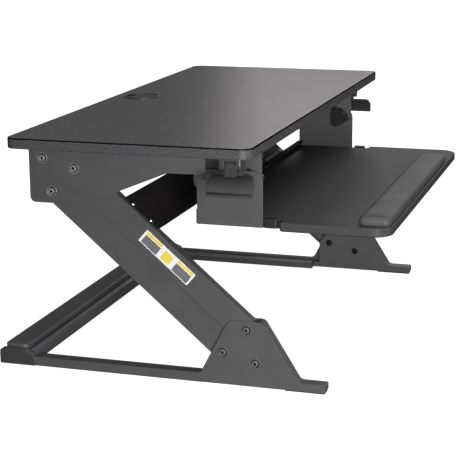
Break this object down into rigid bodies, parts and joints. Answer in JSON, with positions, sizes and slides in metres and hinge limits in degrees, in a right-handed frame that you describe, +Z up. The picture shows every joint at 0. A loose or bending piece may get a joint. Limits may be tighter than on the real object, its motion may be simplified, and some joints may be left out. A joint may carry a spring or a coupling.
{
  "type": "standing desk converter",
  "caption": "Desktop sit-stand converter: black work surface on a sprung parallelogram lift, with a tilting keyboard tray, wrist rest, release paddles and a cable grommet.",
  "frame": {"origin": "on the floor plane under the centre of the whole footprint, at the stored height", "axes": "+X to the user's right along the desktop's width, +Y to the rear, away from the user, +Z up"},
  "size_m": [0.9, 0.63, 0.3894],
  "materials": {
    "frame_paint": "satin powder coat, fine texture",
    "desktop_laminate": "fine pebbled black laminate",
    "edge_band": "smooth dark edging",
    "trim_line": "thin black line at the top of the edging",
    "tray_board": "pebbled black laminate over board",
    "rest_foam": "soft grained synthetic leather",
    "moulded_plastic": "fine spark texture",
    "rubber_pad": "matte",
    "bolt_steel": "black oxide, worn rims",
    "plain_steel": "zinc plated",
    "rod_chrome": "polished",
    "cylinder_paint": "gloss black"
  },
  "bodies": {
    "base": {"lower_bracket_left": "frame_paint", "lower_bracket_right": "frame_paint", "base_rail_left": "frame_paint", "base_rail_right": "frame_paint", "rear_crossbar": "frame_paint", "crossbar_cover": "frame_paint", "crossbar_cap_left": "moulded_plastic", "crossbar_cap_right": "moulded_plastic", "front_foot_pads": "rubber_pad", "rear_foot_pads": "rubber_pad", "lower_pivot_bolts": "bolt_steel", "lower_spacer_sleeves": "plain_steel"},
    "upper_links": {"upper_link_left": "frame_paint", "upper_link_right": "frame_paint", "cross_panel": "frame_paint", "panel_screws": "plain_steel"},
    "lower_links": {"lower_link_left": "frame_paint", "lower_link_right": "frame_paint", "gas_cylinder_left": "cylinder_paint", "gas_cylinder_right": "cylinder_paint"},
    "gas_rods": {"gas_rod_left": "rod_chrome", "gas_rod_right": "rod_chrome"},
    "desk": {"desktop_board": "desktop_laminate", "desktop_edge_band": "edge_band", "desktop_trim_line": "trim_line", "grommet_ring": "moulded_plastic", "grommet_cap": "moulded_plastic", "desk_screws": "plain_steel", "upper_bracket_left": "frame_paint", "upper_bracket_right": "frame_paint", "upper_pivot_bolts": "bolt_steel", "upper_spacer_sleeves": "plain_steel", "spring_anchor_pins": "plain_steel", "tray_plate_left": "frame_paint", "tray_plate_right": "frame_paint", "tilt_pivot_bolts": "bolt_steel", "release_housing_left": "moulded_plastic", "release_housing_right": "moulded_plastic", "release_pin_left": "plain_steel", "release_pin_right": "plain_steel", "release_spring_left": "plain_steel", "release_spring_right": "plain_steel"},
    "tray": {"keyboard_tray": "tray_board", "tray_rear_beam": "frame_paint", "tray_corner_blocks": "moulded_plastic", "tray_hanger_left": "frame_paint", "tray_hanger_right": "frame_paint", "tilt_clamp_bolts": "bolt_steel", "wrist_rest": "rest_foam"},
    "knob_left": {"tilt_knob_left": "moulded_plastic"},
    "knob_right": {"tilt_knob_right": "moulded_plastic"},
    "paddle_left": {"release_paddle_left": "moulded_plastic"},
    "paddle_right": {"release_paddle_right": "moulded_plastic"}
  },
  "joints": [
    {"name": "lift", "type": "hinge", "parent": "base", "child": "upper_links", "pos_m": [0, -0.1022, 0.0913], "axis": [1, 0, 0], "range_deg": [-39.4, 39]},
    {"name": "desk_level", "type": "hinge", "parent": "upper_links", "child": "desk", "pos_m": [0, 0.17414, 0.32899], "axis": [1, 0, 0], "range_deg": [-39.5, 39.5]},
    {"name": "lower_link_swing", "type": "hinge", "parent": "base", "child": "lower_links", "pos_m": [0, -0.06402, 0.05312], "axis": [1, 0, 0], "range_deg": [-39.5, 39.5]},
    {"name": "gas_spring_slide", "type": "slide", "parent": "lower_links", "child": "gas_rods", "axis": [0, 0.7581, 0.6521], "range_m": [-0.0197, 0.0197]},
    {"name": "tray_tilt", "type": "hinge", "parent": "desk", "child": "tray", "pos_m": [0, -0.021, 0.318], "axis": [1, 0, 0], "range_deg": [-9.5, 12]},
    {"name": "knob_turn_left", "type": "hinge", "parent": "tray", "child": "knob_left", "pos_m": [-0.302, -0.0912, 0.3156], "axis": [-1, 0, 0], "range_deg": [0, 270]},
    {"name": "knob_turn_right", "type": "hinge", "parent": "tray", "child": "knob_right", "pos_m": [0.302, -0.0912, 0.3156], "axis": [1, 0, 0], "range_deg": [0, 270]},
    {"name": "paddle_pull_left", "type": "hinge", "parent": "desk", "child": "paddle_left", "pos_m": [-0.389, -0.0892, 0.351], "axis": [0, 1, 0], "range_deg": [0, 12], "stiffness_Nm_per_rad": 0.6, "springref_deg": -11.46},
    {"name": "paddle_pull_right", "type": "hinge", "parent": "desk", "child": "paddle_right", "pos_m": [0.389, -0.0892, 0.351], "axis": [0, -1, 0], "range_deg": [0, 12], "stiffness_Nm_per_rad": 0.6, "springref_deg": -11.46}
  ],
  "couplings": [
    {"joint": "desk_level", "follows": "lift", "ratio": -1},
    {"joint": "lower_link_swing", "follows": "lift", "ratio": 1},
    {"joint": "gas_spring_slide", "follows": "lift", "m_per_rad": 0.0283}
  ]
}
